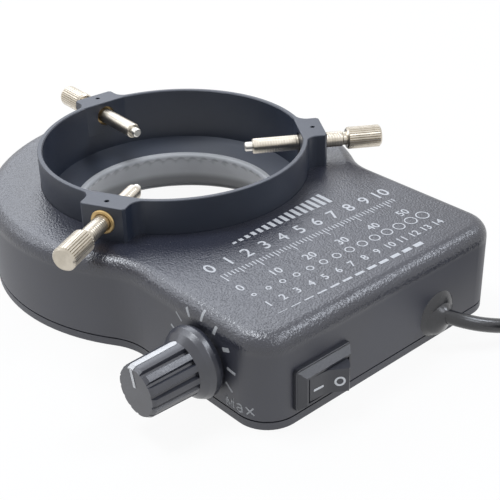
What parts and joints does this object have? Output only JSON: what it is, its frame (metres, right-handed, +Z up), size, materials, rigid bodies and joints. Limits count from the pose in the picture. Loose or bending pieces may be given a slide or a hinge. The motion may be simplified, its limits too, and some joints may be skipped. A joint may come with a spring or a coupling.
{
  "type": "microscope ring light",
  "caption": "Ring light for a microscope: collar with thumbscrews over a lit ring, and a control box with a dimmer knob, a rocker switch and a power cord.",
  "frame": {"origin": "on the ring's axis, in the plane of the underside", "axes": "+Z up along the ring's axis towards the microscope; -Y towards the control box's front face, which holds the switch and the cord; -X towards the dimmer knob"},
  "size_m": [0.128, 0.2107, 0.0312],
  "materials": {
    "housing_plastic": "pebbled, satin",
    "collar_plastic": "smooth satin",
    "brass": "turned",
    "nickel": "nickel plated, knurled",
    "tip_white": "smooth",
    "knob_plastic": "satin",
    "white_plastic": "smooth",
    "switch_plastic": "semi-gloss",
    "steel": "zinc plated",
    "soft_black": "semi-gloss",
    "diffuser": "frosted",
    "board_white": "solder mask",
    "board_green": "solder mask",
    "led_clear": "clear lens",
    "copper_wire": "wound",
    "chip_black": "moulded",
    "capacitor_sleeve": "sleeved",
    "wire_red": "insulated"
  },
  "bodies": {
    "housing": {"bottom_cover": "housing_plastic", "cable_clamp": "chip_black", "cable_grommet": "soft_black", "capacitor_input": "capacitor_sleeve", "capacitor_output": "capacitor_sleeve", "coil_tie": "soft_black", "collar_screw_back_1": "steel", "collar_screw_back_2": "steel", "collar_screw_left_1": "steel", "collar_screw_left_2": "steel", "collar_screw_right_1": "steel", "collar_screw_right_2": "steel", "cord_coil": "soft_black", "cord_lead": "soft_black", "cord_tail": "soft_black", "cover_screw_1": "steel", "cover_screw_2": "steel", "cover_screw_3": "steel", "cover_screw_4": "steel", "driver_board": "board_green", "driver_chip": "chip_black", "driver_screws": "steel", "housing": "housing_plastic", "inductor": "copper_wire", "led_board": "board_white", "led_board_screw_1": "steel", "led_board_screw_2": "steel", "led_board_screw_3": "steel", "led_leads": "wire_red", "led_row_inner": "led_clear", "led_row_middle": "led_clear", "led_row_outer": "led_clear", "light_cover": "diffuser", "mounting_collar": "collar_plastic", "plug_barrel": "nickel", "plug_body": "soft_black", "plug_relief": "soft_black", "pot_body": "steel", "pot_bushing": "steel", "pot_nut": "steel", "pot_terminals": "steel", "pot_washer": "steel", "power_leads": "wire_red", "power_transistor": "chip_black", "screw_insert_back": "brass", "screw_insert_left": "brass", "screw_insert_right": "brass", "switch_frame": "switch_plastic", "switch_terminals": "steel", "wire_connector": "white_plastic"},
    "knob": {"dimmer_knob": "knob_plastic", "knob_pointer": "white_plastic", "pot_shaft": "steel"},
    "rocker": {"rocker": "switch_plastic"},
    "tip_left": {"screw_tip_left": "tip_white"},
    "screw_left": {"thumbscrew_left": "nickel"},
    "tip_right": {"screw_tip_right": "tip_white"},
    "screw_right": {"thumbscrew_right": "nickel"},
    "tip_back": {"screw_tip_back": "tip_white"},
    "screw_back": {"thumbscrew_back": "nickel"}
  },
  "joints": [
    {"name": "dimmer_turn", "type": "hinge", "parent": "housing", "child": "knob", "pos_m": [0, -0.0559, 0.01105], "axis": [1, 0, 0], "range_deg": [-120, 160]},
    {"name": "switch_rock", "type": "hinge", "parent": "housing", "child": "rocker", "pos_m": [-0.022, -0.0754, 0.00855], "axis": [0, 0, 1], "range_deg": [0, 38]},
    {"name": "screw_travel_left", "type": "slide", "parent": "housing", "child": "tip_left", "axis": [-0.8918, -0.4524, 0], "range_m": [-0.0082, 0.0116]},
    {"name": "screw_turn_left", "type": "hinge", "parent": "tip_left", "child": "screw_left", "pos_m": [0, 0, 0.0272], "axis": [-0.8918, -0.4524, 0], "range_deg": [-4237.1, 5985.7]},
    {"name": "screw_travel_right", "type": "slide", "parent": "housing", "child": "tip_right", "axis": [0.8377, -0.5461, 0], "range_m": [-0.0055, 0.0143]},
    {"name": "screw_turn_right", "type": "hinge", "parent": "tip_right", "child": "screw_right", "pos_m": [0, 0, 0.0272], "axis": [0.8377, -0.5461, 0], "range_deg": [-2848.6, 7374.3]},
    {"name": "screw_travel_back", "type": "slide", "parent": "housing", "child": "tip_back", "axis": [0.0541, 0.9985, 0], "range_m": [-0.004, 0.0159]},
    {"name": "screw_turn_back", "type": "hinge", "parent": "tip_back", "child": "screw_back", "pos_m": [0, 0, 0.0272], "axis": [0.0541, 0.9985, 0], "range_deg": [-2077.1, 8197.1]}
  ],
  "couplings": [
    {"joint": "screw_turn_left", "follows": "screw_travel_left", "rad_per_m": 8976},
    {"joint": "screw_turn_right", "follows": "screw_travel_right", "rad_per_m": 8976},
    {"joint": "screw_turn_back", "follows": "screw_travel_back", "rad_per_m": 8976}
  ]
}
